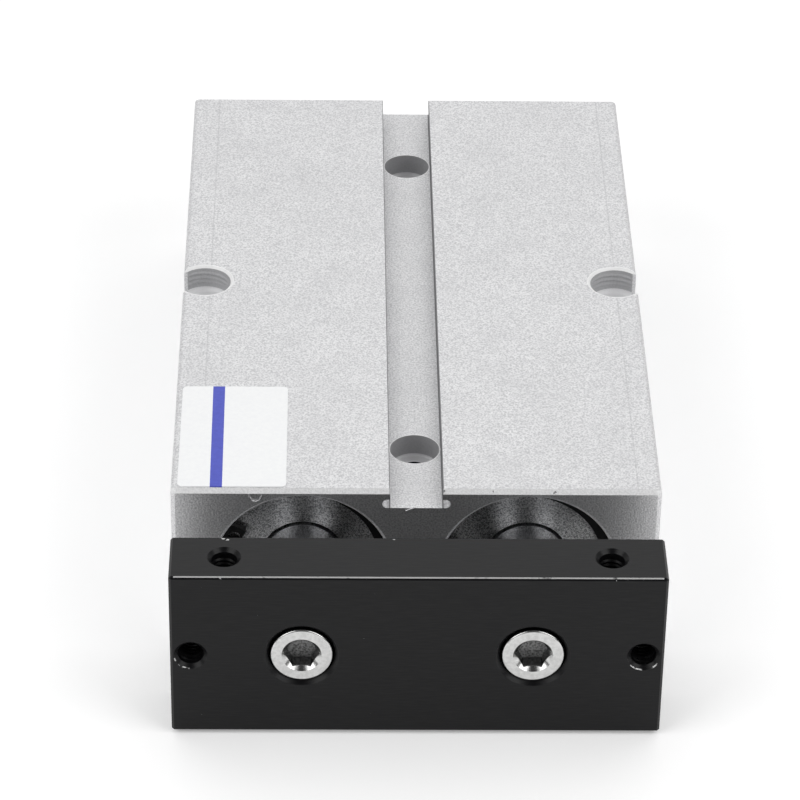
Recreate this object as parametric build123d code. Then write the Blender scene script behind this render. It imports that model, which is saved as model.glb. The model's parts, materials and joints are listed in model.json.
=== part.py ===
from build123d import *

import os
from math import sqrt

# Twin rod pneumatic cylinder. An extruded aluminium body holds two bores side by side, and
# one end plate joins the two rods, so they move as one and can't turn.
# The part stands on the body's underside with +Z up. Its length runs along Y, with the end
# plate towards -Y, and left and right are as seen from the end plate. The origin is the
# middle of the footprint with the rods drawn in. All sizes are in millimetres.

# Working sizes
stroke = 50.0
bore_radius = 12.5
rod_radius = 6.5
running_gap = 0.05
seating_gap = 0.03
stop_gap = 0.1

# Body: the metal round the cover seats sets its width, its height and the pitch of the rods
seat_step = 2.0
seat_web = 8.0
side_land = 7.0
top_land = 1.5
body_edge_radius = 0.9
body_end_chamfer = 0.7
mouth_chamfer = 0.6
cover_recess = 4.0

# T-slots along the top and the underside
slot_opening = 8.7
slot_undercut_width = 11.1
slot_undercut_height = 1.65
slot_depth = 3.45
slot_end_radius = 0.8

# Mounting holes in the slot floors
front_hole_setback = 16.7
rear_hole_setback = 19.4
mount_hole_radius = 2.2
mount_head_radius = 4.1
mount_head_depth = 4.1

# Air ports, tapped from above and open through the side edge
port_edge_distance = 3.8
port_forward_shift = 0.6
port_radius = 4.5
port_depth = 5.0
port_chamfer = 0.4
port_side_opening = 6.4
air_drop_radius = 1.5

# Air passages between the ports and the chambers
passage_radius = 1.2
plug_radius = 1.75
plug_length = 4.0
plug_recess = 0.3

# Rod cover, with its bush, rod seal and outer ring
rod_cover_length = 29.0
rod_cover_hole_clearance = 0.35
cover_edge_chamfer = 0.5
seal_groove_start = 3.0
seal_groove_width = 4.5
seal_groove_depth = 2.8
bush_start = 9.5
bush_wall = 1.5
ring_section_radius = 0.9
ring_groove_width = 2.4
rod_cover_ring_start = 20.0

# Rear cover
rear_cover_length = 9.0
rear_cover_ring_start = 2.6
rear_cover_dish_radius = 6.0
rear_cover_dish_depth = 1.5

# Bumpers between the piston and the covers
bumper_inner_land = 1.0
bumper_side_room = 0.7
bumper_stand = 2.5
bumper_sink = 1.5

# Circlips
circlip_thickness = 1.2
circlip_groove_width = 1.3
circlip_groove_depth = 0.6
circlip_ring_width = 1.7
circlip_offset = 1.0
circlip_lug_width = 4.2
circlip_lug_start = 31.0
circlip_lug_end = 13.0
circlip_pin_radius = 1.0
circlip_turns = {"left": 0.0, "right": 17.0}

# Piston: two halves with the magnet between them, held on the rod by a nut
piston_gap = 0.2
piston_front_length = 14.0
piston_rear_length = 8.0
magnet_length = 5.0
magnet_boss_wall = 2.0
magnet_side_room = 1.1
wear_ring_start = 3.0
wear_ring_width = 6.0
wear_ring_thickness = 1.6
piston_seal_start = 1.8
piston_seal_width = 4.2
piston_seal_thickness = 3.0
rod_sink_in_piston = 3.0
spigot_radius = 4.0
spigot_recess = 0.3
nut_across_flats = 13.0
nut_thickness = 4.7
nut_pocket_clearance = 0.2

# End plate and its screws
plate_gap = 12.0
plate_thickness = 11.0
plate_inset = 0.5
plate_edge_chamfer = 0.4
screw_radius = 3.0
screw_head_radius = 5.0
screw_head_height = 6.0
screw_head_recess = 0.1
screw_head_rounding = 0.35
screw_reach = 14.0
screw_clearance = 0.3
screw_socket_across_flats = 5.0
screw_socket_depth = 3.0
screw_socket_bevel = 0.7
counterbore_chamfer = 0.7
tapped_radius = 2.1
tapped_rim = 0.6
tapped_depth = 10.0
top_tapped_inset = 8.7
front_tapped_inset = 3.3

# Rating label
label_width = 17.7
label_length = 29.0
label_thickness = 0.15
label_corner_radius = 0.9
label_side_margin = 1.1
label_front_margin = 0.8

# Sizes and places that follow from those above
seat_radius = bore_radius + seat_step
rod_pitch = 2 * seat_radius + seat_web
body_width = rod_pitch + 2 * (seat_radius + side_land)
body_height = 2 * (seat_radius + top_land)
plate_width = body_width - 2 * plate_inset
plate_height = body_height - 2 * plate_inset
bush_radius = rod_radius + bush_wall
bumper_inner_radius = bush_radius + bumper_inner_land
bumper_outer_radius = bore_radius - bumper_side_room
circlip_groove_radius = seat_radius + circlip_groove_depth
circlip_inner_radius = circlip_groove_radius - circlip_ring_width
circlip_lug_inner_radius = circlip_groove_radius - circlip_lug_width
magnet_inner_radius = spigot_radius + magnet_boss_wall
magnet_outer_radius = bore_radius - magnet_side_room
screw_hole_radius = screw_radius + screw_clearance
counterbore_radius = screw_head_radius + screw_clearance
piston_length = piston_front_length + magnet_length + piston_rear_length
front_seat_depth = cover_recess + rod_cover_length
rear_seat_depth = cover_recess + rear_cover_length
body_length = front_seat_depth + bumper_stand + stroke + piston_length + bumper_stand + rear_seat_depth
overall_length = plate_thickness + plate_gap + body_length
plate_front_y = -overall_length / 2
plate_rear_y = plate_front_y + plate_thickness
front_y = plate_rear_y + plate_gap
rear_y = front_y + body_length
front_stop_y = front_y + front_seat_depth + bumper_stand
piston_y = front_stop_y + stroke
rear_stop_y = piston_y + piston_length
axis_z = body_height / 2
bore_x = {"left": -rod_pitch / 2, "right": rod_pitch / 2}
port_x = body_width / 2 - port_edge_distance
port_y = front_y + body_length / 2 - port_forward_shift
front_chamber_y = front_stop_y - bumper_stand / 2
rear_chamber_y = rear_stop_y + bumper_stand / 2
cover_hole_radius = rod_radius + rod_cover_hole_clearance
cover_radius = seat_radius - seating_gap
nut_corner_radius = nut_across_flats / sqrt(3)
overcut = 1.0


def turned(*points):
    """Turns a closed outline of (radius, y) points about the Y axis."""
    return revolve(make_face(Polyline(*points, close=True)), Axis.Y)


def tube(inner_radius, outer_radius, start, end):
    """A round tube along Y, or a rod where the inner radius is 0."""
    return turned((inner_radius, start), (outer_radius, start), (outer_radius, end), (inner_radius, end))


def upright(radius, x, y, low, high):
    """A cylinder along Z between two heights."""
    return Pos(x, y, (low + high) / 2) * Cylinder(radius, high - low)


def crosswise(radius, start_x, end_x, y, z):
    """A cylinder along X."""
    return Pos((start_x + end_x) / 2, y, z) * Rot(0, 90, 0) * Cylinder(radius, abs(end_x - start_x))


def countersink(hole_radius, rim_radius):
    """A cone that opens along +Z from the hole's wall to its rim at height 0, and a little past it."""
    depth = rim_radius - hole_radius
    middle = (overcut - depth) / 2
    return Pos(0, 0, middle) * Cone(hole_radius, rim_radius + overcut, depth + overcut)


def hexagon_bar(across_flats, start, end):
    """A hexagonal bar along Y, with two flats level."""
    outline = RegularPolygon(across_flats / 2, 6, major_radius=False)
    return Pos(0, end, 0) * extrude(Plane.XZ * outline, end - start)


def along_bore(side, piece):
    """Moves a piece that is built on the Y axis to one bore's axis."""
    return Pos(bore_x[side], 0, axis_z) * piece


def outer_ring(groove_start):
    """A rubber ring of eight-sided section, in the middle of a groove round a cover."""
    middle_radius = seat_radius - seating_gap - ring_section_radius
    middle_y = groove_start + ring_groove_width / 2
    return revolve(Pos(middle_radius, middle_y) * RegularPolygon(ring_section_radius, 8), Axis.Y)


def bore_cut():
    """Bore, cover seats, circlip grooves and mouth chamfers, as one turned shape."""
    rim = seat_radius + mouth_chamfer
    front_groove_end = front_y + cover_recess
    rear_groove_end = rear_y - cover_recess
    return turned(
        (0, front_y - overcut),
        (rim + overcut, front_y - overcut),
        (seat_radius, front_y + mouth_chamfer),
        (seat_radius, front_groove_end - circlip_groove_width),
        (circlip_groove_radius, front_groove_end - circlip_groove_width),
        (circlip_groove_radius, front_groove_end),
        (seat_radius, front_groove_end),
        (seat_radius, front_y + front_seat_depth),
        (bore_radius, front_y + front_seat_depth),
        (bore_radius, rear_y - rear_seat_depth),
        (seat_radius, rear_y - rear_seat_depth),
        (seat_radius, rear_groove_end),
        (circlip_groove_radius, rear_groove_end),
        (circlip_groove_radius, rear_groove_end + circlip_groove_width),
        (seat_radius, rear_groove_end + circlip_groove_width),
        (seat_radius, rear_y - mouth_chamfer),
        (rim + overcut, rear_y + overcut),
        (0, rear_y + overcut),
    )


def t_slot():
    """The T-slot's section, with its mouth at height 0 and its floor below."""
    mouth = Pos(0, (overcut - slot_depth) / 2) * Rectangle(slot_opening, slot_depth + overcut)
    undercut_height = slot_undercut_height / 2 - slot_depth
    undercut = RectangleRounded(slot_undercut_width, slot_undercut_height, slot_end_radius)
    return mouth + Pos(0, undercut_height) * undercut


def mount_holes():
    """Through holes between the slot floors, with a pocket for the screw head at each end."""
    cut = []
    for y in (front_y + front_hole_setback, rear_y - rear_hole_setback):
        cut.append(upright(mount_hole_radius, 0, y, 0, body_height))
        pocket = slot_depth + mount_head_depth
        cut.append(upright(mount_head_radius, 0, y, -overcut, pocket))
        cut.append(upright(mount_head_radius, 0, y, body_height - pocket, body_height + overcut))
    return cut


def air_routes():
    """Each port's route: its side, the end face that it is drilled from, the chamber and the way inwards.

    The left port feeds the two front chambers and the right port the two rear ones.
    """
    return ((-1, front_y, front_chamber_y, 1), (1, rear_y, rear_chamber_y, -1))


def air_ways():
    """Ports and the drilled passages that lead from them to the chambers.

    Each cross passage runs from the side face through the near bore and the web into the far bore.
    """
    cut = []
    for hand, face_y, chamber_y, _ in air_routes():
        x = hand * port_x
        side_x = hand * body_width / 2
        floor_z = body_height - port_depth
        cut.append(upright(port_radius, x, port_y, floor_z, body_height + overcut))
        cut.append(Pos(x, port_y, body_height) * countersink(port_radius, port_radius + port_chamfer))
        opening_width = port_edge_distance + overcut
        opening = Box(opening_width, port_side_opening, port_depth + overcut)
        cut.append(Pos(x + hand * opening_width / 2, port_y, floor_z + (port_depth + overcut) / 2) * opening)
        cut.append(upright(air_drop_radius, x, port_y, axis_z, floor_z + overcut))
        low_y = min(face_y, port_y)
        high_y = max(face_y, port_y)
        cut.append(Pos(x, 0, axis_z) * tube(0, passage_radius, low_y, high_y))
        far_bore_x = -hand * (rod_pitch / 2 - bore_radius + overcut)
        cut.append(crosswise(passage_radius, side_x, far_bore_x, chamber_y, axis_z))
    return cut


def plug_rods(recess):
    """Rods the size of the plugs, from the body's skin inwards, their outer ends set back."""
    rods = []
    for hand, face_y, chamber_y, inward in air_routes():
        ends = (face_y + inward * recess, face_y + inward * (plug_recess + plug_length))
        rods.append(Pos(hand * port_x, 0, axis_z) * tube(0, plug_radius, min(ends), max(ends)))
        skin_x = hand * body_width / 2
        inner_x = skin_x - hand * (plug_recess + plug_length)
        rods.append(crosswise(plug_radius, skin_x - hand * recess, inner_x, chamber_y, axis_z))
    return rods


def cylinder_body():
    """Extruded body with its end chamfers, slots, bores, mounting holes and air ways."""
    back = Plane((0, rear_y, axis_z), x_dir=(1, 0, 0), z_dir=(0, -1, 0))
    block = extrude(back * RectangleRounded(body_width, body_height, body_edge_radius), body_length)
    ends = block.faces().sort_by(Axis.Y)
    block = chamfer(ends[0].edges() + ends[-1].edges(), body_end_chamfer)
    for turn in (0, 180):
        section = Rot(0, 0, turn) * Pos(0, body_height / 2) * t_slot()
        block -= extrude(back * section, body_length)
    for side in bore_x:
        block -= along_bore(side, bore_cut())
    for cut in mount_holes() + air_ways() + plug_rods(0):
        block -= cut
    return block


def air_passage_plugs():
    """Round steel plugs that close the drilled ends of the passages."""
    return Compound(plug_rods(plug_recess))


def rod_cover():
    """Turned cover with the rod hole, the seal groove, the bush seat and the ring groove."""
    start = front_y + cover_recess
    end = start + rod_cover_length
    seal_start = start + seal_groove_start
    seal_end = seal_start + seal_groove_width
    groove_start = start + rod_cover_ring_start
    groove_end = groove_start + ring_groove_width
    groove_radius = seat_radius - 2 * ring_section_radius - seating_gap
    sink_y = end - bumper_sink
    return turned(
        (cover_hole_radius, start),
        (cover_radius - cover_edge_chamfer, start),
        (cover_radius, start + cover_edge_chamfer),
        (cover_radius, groove_start),
        (groove_radius, groove_start),
        (groove_radius, groove_end),
        (cover_radius, groove_end),
        (cover_radius, end),
        (bumper_outer_radius, end),
        (bumper_outer_radius, sink_y),
        (bumper_inner_radius, sink_y),
        (bumper_inner_radius, end),
        (bush_radius, end),
        (bush_radius, start + bush_start),
        (cover_hole_radius, start + bush_start),
        (cover_hole_radius, seal_end),
        (cover_hole_radius + seal_groove_depth, seal_end),
        (cover_hole_radius + seal_groove_depth, seal_start),
        (cover_hole_radius, seal_start),
    )


def rod_bush():
    """Plain guide bush, pressed into the rod cover."""
    start = front_y + cover_recess + bush_start
    end = front_y + front_seat_depth
    return tube(rod_radius + running_gap, bush_radius, start, end)


def rod_seal():
    """Lip seal round the rod, with its hollow side towards the pressure."""
    start = front_y + cover_recess + seal_groove_start + seating_gap
    end = start + seal_groove_width - 2 * seating_gap
    inner = rod_radius + running_gap
    outer = cover_hole_radius + seal_groove_depth - seating_gap
    middle = (inner + outer) / 2
    lip = (outer - inner) / 4
    return turned(
        (inner, start),
        (outer, start),
        (outer, end),
        (middle + lip, end),
        (middle, end - seal_groove_width / 2),
        (middle - lip, end),
        (inner, end),
    )


def rear_cover():
    """Plain disc with a ring groove, a bumper groove and a shallow middle recess."""
    end = rear_y - cover_recess
    start = end - rear_cover_length
    groove_start = start + rear_cover_ring_start
    groove_end = groove_start + ring_groove_width
    groove_radius = seat_radius - 2 * ring_section_radius - seating_gap
    sink_y = start + bumper_sink
    return turned(
        (0, start),
        (bumper_inner_radius, start),
        (bumper_inner_radius, sink_y),
        (bumper_outer_radius, sink_y),
        (bumper_outer_radius, start),
        (cover_radius, start),
        (cover_radius, groove_start),
        (groove_radius, groove_start),
        (groove_radius, groove_end),
        (cover_radius, groove_end),
        (cover_radius, end - cover_edge_chamfer),
        (cover_radius - cover_edge_chamfer, end),
        (rear_cover_dish_radius, end),
        (rear_cover_dish_radius, end - rear_cover_dish_depth),
        (0, end - rear_cover_dish_depth),
    )


def sector(*angles):
    """A triangle from the middle to well past the circlip's groove, between two angles from -X."""
    corners = [Vector(-2 * circlip_groove_radius, 0).rotate(Axis.Z, angle) for angle in angles]
    return make_face(Polyline((0, 0), *corners, close=True))


def circlip(groove_y, turn):
    """Internal circlip: an eccentric ring, open at the left, with a pierced lug at each end."""
    disc = Circle(circlip_groove_radius - seating_gap)
    ring = disc - Pos(-circlip_offset, 0) * Circle(circlip_inner_radius)
    pin_angle = (circlip_lug_start + circlip_lug_end) / 2
    pin_distance = (circlip_lug_inner_radius + circlip_inner_radius) / 2
    for hand in (1, -1):
        lug = disc - Circle(circlip_lug_inner_radius)
        ring += lug & sector(-hand * circlip_lug_end, -hand * circlip_lug_start)
        pin = Vector(-pin_distance, 0).rotate(Axis.Z, -hand * pin_angle)
        ring -= Pos(pin.X, pin.Y) * Circle(circlip_pin_radius)
    ring -= sector(circlip_lug_end, -circlip_lug_end)
    flat = Plane((0, groove_y, 0), x_dir=(1, 0, 0), z_dir=(0, -1, 0)) * Rot(0, 0, turn) * ring
    return extrude(flat, circlip_thickness)


def bumper(cover_face_y, inward):
    """Rubber stop ring, half sunk into a cover and standing out of it towards the piston."""
    ends = (cover_face_y - inward * bumper_sink, cover_face_y + inward * (bumper_stand - stop_gap))
    return tube(bumper_inner_radius + seating_gap, bumper_outer_radius - seating_gap, min(ends), max(ends))


def piston_rod():
    """Rod with the screw hole in its front end and the spigot for the piston at its rear."""
    shoulder_y = piston_y + rod_sink_in_piston
    screw_end = plate_front_y + screw_head_recess + screw_head_height + screw_reach + overcut
    return turned(
        (screw_radius, plate_rear_y),
        (rod_radius, plate_rear_y),
        (rod_radius, shoulder_y),
        (spigot_radius, shoulder_y),
        (spigot_radius, rear_stop_y - spigot_recess),
        (0, rear_stop_y - spigot_recess),
        (0, screw_end),
        (screw_radius, screw_end),
    )


def piston_front():
    """Front half: takes the rod's shoulder, the wear ring and the boss that the magnet sits on."""
    outer = bore_radius - piston_gap
    ring_start = piston_y + wear_ring_start
    ring_end = ring_start + wear_ring_width
    boss_y = piston_y + piston_front_length
    groove_radius = bore_radius - wear_ring_thickness - running_gap
    return turned(
        (rod_radius, piston_y),
        (outer, piston_y),
        (outer, ring_start),
        (groove_radius, ring_start),
        (groove_radius, ring_end),
        (outer, ring_end),
        (outer, boss_y),
        (magnet_inner_radius, boss_y),
        (magnet_inner_radius, boss_y + magnet_length),
        (spigot_radius, boss_y + magnet_length),
        (spigot_radius, piston_y + rod_sink_in_piston),
        (rod_radius, piston_y + rod_sink_in_piston),
    )


def piston_rear():
    """Rear half: carries the piston seal and the pocket for the nut."""
    outer = bore_radius - piston_gap
    start = rear_stop_y - piston_rear_length
    seal_start = start + piston_seal_start
    seal_end = seal_start + piston_seal_width
    groove_radius = bore_radius - piston_seal_thickness - running_gap
    pocket_y = rear_stop_y - nut_thickness - spigot_recess
    pocket_radius = nut_corner_radius + nut_pocket_clearance
    return turned(
        (spigot_radius, start),
        (outer, start),
        (outer, seal_start),
        (groove_radius, seal_start),
        (groove_radius, seal_end),
        (outer, seal_end),
        (outer, rear_stop_y),
        (pocket_radius, rear_stop_y),
        (pocket_radius, pocket_y),
        (spigot_radius, pocket_y),
    )


def magnet_ring():
    """Ring magnet between the piston halves."""
    start = piston_y + piston_front_length
    return tube(magnet_inner_radius, magnet_outer_radius, start, start + magnet_length)


def wear_ring():
    """Plastic guide band in the front half's groove."""
    start = piston_y + wear_ring_start
    outer = bore_radius - running_gap
    return tube(outer - wear_ring_thickness, outer, start, start + wear_ring_width)


def piston_seal():
    """Rubber seal in the rear half's groove, with a hollow in each face behind its lips."""
    start = rear_stop_y - piston_rear_length + piston_seal_start
    end = start + piston_seal_width
    outer = bore_radius - running_gap
    inner = outer - piston_seal_thickness
    middle = (inner + outer) / 2
    hollow = piston_seal_width / 4
    return turned(
        (inner, start),
        (middle, start + hollow),
        (outer, start),
        (outer, end),
        (middle, end - hollow),
        (inner, end),
    )


def piston_nut():
    """Thin hexagon nut on the rod's spigot."""
    end = rear_stop_y - spigot_recess
    return hexagon_bar(nut_across_flats, end - nut_thickness, end) - tube(0, spigot_radius, end - nut_thickness, end)


def plate_screw():
    """Socket head screw along Y, with a rounded head edge and a bevelled socket mouth."""
    face_y = plate_front_y + screw_head_recess
    under_y = face_y + screw_head_height
    end_y = under_y + screw_reach
    screw = turned(
        (0, face_y),
        (screw_head_radius, face_y),
        (screw_head_radius, under_y),
        (screw_radius, under_y),
        (screw_radius, end_y),
        (0, end_y),
    )
    screw = fillet(screw.edges().group_by(Axis.Y)[0], screw_head_rounding)
    socket_radius = screw_socket_across_flats / 2
    screw -= hexagon_bar(screw_socket_across_flats, face_y, face_y + screw_socket_depth)
    screw -= turned(
        (0, face_y),
        (socket_radius + screw_socket_bevel, face_y),
        (socket_radius, face_y + screw_socket_bevel),
        (0, face_y + screw_socket_bevel),
    )
    return screw


def plate_screws():
    """The two screws that hold the plate to the rods."""
    return Compound([along_bore(side, plate_screw()) for side in bore_x])


def end_plate():
    """Flat plate with the screw counterbores and the tapped holes for a load."""
    middle_y = (plate_front_y + plate_rear_y) / 2
    plate = Pos(0, middle_y, axis_z) * Box(plate_width, plate_thickness, plate_height)
    plate = chamfer(plate.edges(), plate_edge_chamfer)
    pocket_end = plate_front_y + screw_head_recess + screw_head_height
    rim = counterbore_radius + counterbore_chamfer
    for side in bore_x:
        plate -= along_bore(side, turned(
            (0, plate_front_y - overcut),
            (rim + overcut, plate_front_y - overcut),
            (counterbore_radius, plate_front_y + counterbore_chamfer),
            (counterbore_radius, pocket_end),
            (screw_hole_radius, pocket_end),
            (screw_hole_radius, plate_rear_y + overcut),
            (0, plate_rear_y + overcut),
        ))
    cone = countersink(tapped_radius, tapped_radius + tapped_rim)
    for hand in (-1, 1):
        x = hand * (plate_width / 2 - front_tapped_inset)
        plate -= Pos(x, 0, axis_z) * tube(0, tapped_radius, plate_front_y, plate_rear_y)
        plate -= Pos(x, plate_front_y, axis_z) * Rot(90, 0, 0) * cone
        plate -= Pos(x, plate_rear_y, axis_z) * Rot(-90, 0, 0) * cone
        x = hand * (plate_width / 2 - top_tapped_inset)
        top_z = axis_z + plate_height / 2
        low_z = axis_z - plate_height / 2
        plate -= upright(tapped_radius, x, middle_y, top_z - tapped_depth, top_z)
        plate -= Pos(x, middle_y, top_z) * cone
        plate -= upright(tapped_radius, x, middle_y, low_z, low_z + tapped_depth)
        plate -= Pos(x, middle_y, low_z) * Rot(180, 0, 0) * cone
    return plate


def rating_label():
    """Thin blank sticker with rounded corners on the body's top."""
    x = -body_width / 2 + label_side_margin + label_width / 2
    y = front_y + label_front_margin + label_length / 2
    outline = Pos(x, y, body_height) * RectangleRounded(label_width, label_length, label_corner_radius)
    return extrude(outline, label_thickness)


def single_pieces():
    """The pieces that the cylinder has once, by name."""
    return {
        "cylinder_body": cylinder_body(),
        "air_passage_plugs": air_passage_plugs(),
        "end_plate": end_plate(),
        "plate_screws": plate_screws(),
        "rating_label": rating_label(),
    }


def bore_pieces(side):
    """The pieces that each bore holds, by name, built on the Y axis."""
    front_groove_y = front_y + cover_recess
    rear_groove_y = rear_y - cover_recess + circlip_thickness
    return {
        "rod_cover": rod_cover(),
        "rod_bush": rod_bush(),
        "rod_seal": rod_seal(),
        "rod_cover_ring": outer_ring(front_y + cover_recess + rod_cover_ring_start),
        "front_circlip": circlip(front_groove_y, circlip_turns[side]),
        "front_bumper": bumper(front_y + front_seat_depth, 1),
        "rear_cover": rear_cover(),
        "rear_cover_ring": outer_ring(rear_y - rear_seat_depth + rear_cover_ring_start),
        "rear_circlip": circlip(rear_groove_y, circlip_turns[side]),
        "rear_bumper": bumper(rear_y - rear_seat_depth, -1),
        "piston_rod": piston_rod(),
        "piston_front": piston_front(),
        "piston_rear": piston_rear(),
        "piston_seal": piston_seal(),
        "wear_ring": wear_ring(),
        "magnet_ring": magnet_ring(),
        "piston_nut": piston_nut(),
    }


os.makedirs("parts", exist_ok=True)
for name, shape in single_pieces().items():
    export_step(shape, f"parts/{name}.step")
for side in bore_x:
    for name, shape in bore_pieces(side).items():
        export_step(along_bore(side, shape), f"parts/{side}_{name}.step")
print("body length", body_length, "overall length", overall_length)
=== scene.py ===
import json
from math import cos, pi, radians, sin

import bpy
import numpy as np
from mathutils import Matrix, Vector


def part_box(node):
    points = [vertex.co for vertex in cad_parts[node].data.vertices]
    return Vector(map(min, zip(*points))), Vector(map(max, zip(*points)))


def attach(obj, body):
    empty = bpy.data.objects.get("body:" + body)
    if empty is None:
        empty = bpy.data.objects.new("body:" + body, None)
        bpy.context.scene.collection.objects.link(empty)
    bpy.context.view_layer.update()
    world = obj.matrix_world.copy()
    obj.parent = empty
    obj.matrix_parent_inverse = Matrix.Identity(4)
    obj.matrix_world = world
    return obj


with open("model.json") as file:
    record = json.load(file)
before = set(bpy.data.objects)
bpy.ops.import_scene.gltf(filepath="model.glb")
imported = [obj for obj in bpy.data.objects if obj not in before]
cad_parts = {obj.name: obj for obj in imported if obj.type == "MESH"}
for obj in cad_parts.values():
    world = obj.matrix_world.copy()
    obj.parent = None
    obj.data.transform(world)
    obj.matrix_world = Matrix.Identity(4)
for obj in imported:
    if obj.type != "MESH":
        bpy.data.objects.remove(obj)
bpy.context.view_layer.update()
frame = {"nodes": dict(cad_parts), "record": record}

# Twin rod air cylinder lying on a studio table: the solids come from the frame, and this file
# gives them their finishes, cuts the threads and sets the light and the camera.
# Sizes are in millimetres unless a note says otherwise; mm turns them to Blender's metres.

mm = 0.001
print("frame loaded:", len(frame["nodes"]), "nodes")


# Places read off the frame

def boxOf(node):
    low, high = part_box(node)
    return np.array(low) / mm, np.array(high) / mm


def mountOf(name):
    # a mount's place, and its sizes as the record gives them
    mount = next(m for m in frame["record"]["mounts"] if m["name"] == name)
    return np.array(mount["pos_m"]) / mm, mount["dims"]


bodyLow, bodyHigh = boxOf("cylinder_body")
plateLow, plateHigh = boxOf("end_plate")
labelLow, labelHigh = boxOf("rating_label")
coverLow, coverHigh = boxOf("right_rod_cover")
bodyMiddle = (bodyLow + bodyHigh) / 2
halfLength, halfHeight = (float(size) for size in (bodyHigh - bodyMiddle)[1:])
boreMiddle = (coverLow + coverHigh) / 2        # on the right bore's axis; the left bore is its mirror
portPlace, portDims = mountOf("right_port")
boltPlace, boltDims = mountOf("body_bolts")
pocketPlaces = [float(boltPlace[1] + hand * boltDims["spacing_y_mm"] / 2) for hand in (-1, 1)]
pocketRadius, slotDepth = 4.1, 3.45        # the screw pockets are sunk in the floors of the slots


# Colours and nodes

def colour(code):
    # sRGB hex digits to linear light, as the shaders want it
    channels = np.array([int(code[i:i + 2], 16) for i in (1, 3, 5)]) / 255
    linear = np.where(channels <= 0.04045, channels / 12.92, ((channels + 0.055) / 1.055) ** 2.4)
    return (*linear.tolist(), 1.0)


def addNode(tree, kind, settings=None, links=None):
    # a key is a property's name, or a socket's name or number. Colours come as hex digits, and a
    # ramp's stops as (place, colour) pairs. A link comes from a socket or from a node's first output.
    # A Mix of colours takes its amount at socket 0 and its two colours at sockets 6 and 7
    node = tree.nodes.new("ShaderNode" + kind)
    for key, value in (settings or {}).items():
        if key == "stops":
            for stop, (place, code) in zip(node.color_ramp.elements, value):
                stop.position = place
                stop.color = colour(code)
        elif isinstance(key, str) and hasattr(node, key):
            setattr(node, key, value)
        else:
            node.inputs[key].default_value = colour(value) if isinstance(value, str) else value
    for key, source in (links or {}).items():
        if hasattr(source, "outputs"):
            source = next(output for output in source.outputs if output.enabled)
        tree.links.new(source, node.inputs[key])
    return node


def startMaterial(name):
    # an empty material, and the point being shaded, in metres from the origin
    material = bpy.data.materials.new(name)
    material.use_nodes = True
    material.node_tree.nodes.clear()
    place = addNode(material.node_tree, "TexCoord").outputs["Object"]
    return material, material.node_tree, place


def closeMaterial(tree, settings, links):
    # the surface shader, with its constants on its own sockets
    shader = addNode(tree, "BsdfPrincipled", settings, links)
    addNode(tree, "OutputMaterial", None, {"Surface": shader})


raggedEdge = {"size": 0.5, "push": 0.9}


def markedSpots(tree, place, spots, p=raggedEdge):
    # 1 within each spot's radius (x, y, z, radius in millimetres), and 0 elsewhere. The edges are
    # ragged, because a noise from 0 to 1 pushes each point aside along every axis by its own amount
    rough = addNode(tree, "TexNoise", {"Scale": 1 / (p["size"] * mm)}, {"Vector": place})
    push = addNode(tree, "VectorMath", {"operation": "SCALE", "Scale": p["push"] * mm},
                   {0: rough.outputs["Color"]})
    moved = addNode(tree, "VectorMath", {"operation": "ADD"}, {0: place, 1: push})
    total = None
    for x, y, z, radius in spots:
        middle = tuple((value + p["push"] / 2) * mm for value in (x, y, z))        # half a push on average
        away = addNode(tree, "VectorMath", {"operation": "DISTANCE", 1: middle}, {0: moved})
        inside = addNode(tree, "Math", {"operation": "LESS_THAN", 1: radius * mm},
                         {0: away.outputs["Value"]})
        if total is not None:
            inside = addNode(tree, "Math", {"operation": "MAXIMUM"}, {0: total, 1: inside})
        total = inside
    return total


# Body: bead-blasted clear anodised aluminium

blastedBody = {
    # Half is half of a line's width, and Share how much of a tone is laid over what is under it
    "tone": "#ECECED", "shade": "#C2C2C4", "bare": "#F6F6F6", "dieShade": "#B8B8BA", "nickShade": "#8A8A8C",
    "gritSize": 0.3, "gritDepth": 0.05,
    "patchSize": 7.0, "patchLow": 0.35, "patchHigh": 0.7, "patchShare": 0.2,
    "roughness": 0.48, "skinMetallic": 0.55, "endMetallic": 1.0, "skinDepth": 0.3, "margin": 0.05,
    "dieLines": (-35.2, 36.1), "dieLineHalf": 0.12, "dieLineShare": 0.4,
    "edgeBand": 0.75, "edgeFade": 0.1, "edgeShare": 0.55, "mattRoughness": 0.7, "mattMetallic": 0.3,
    "rimStart": 0.02, "rimWidth": 0.55, "rimDepth": 0.45, "rimShare": 0.95,
    "pocketRimWidth": 0.16, "pocketRimDepth": 3.6,
    # the holes' floors take their tone from these depths below the top
    "portFloor": 4.15, "pocketFloor": 7.1,
    # painted shade for the holes' walls, and a darker one for the screws' holes through the floors
    "holePaintedShade": "#AEAEB0", "holeShare": 0.85, "floorTone": "#EDEDEE", "borePaintedShade": "#303032",
    # the slots' lips, and a painted shade laid along them
    "slotEdge": 4.35, "slotEdgeHalf": 0.11, "slotEdgeDepth": 3.6, "slotEdgePaintedShade": "#7C7C7E",
    "nicks": [(12.3, -52.4, 31.8, 0.25), (4.3, -52.3, 31.8, 0.3), (22.5, -52.4, 31.7, 0.3),
              (-12.0, -52.4, 31.8, 0.2)],
}


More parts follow.
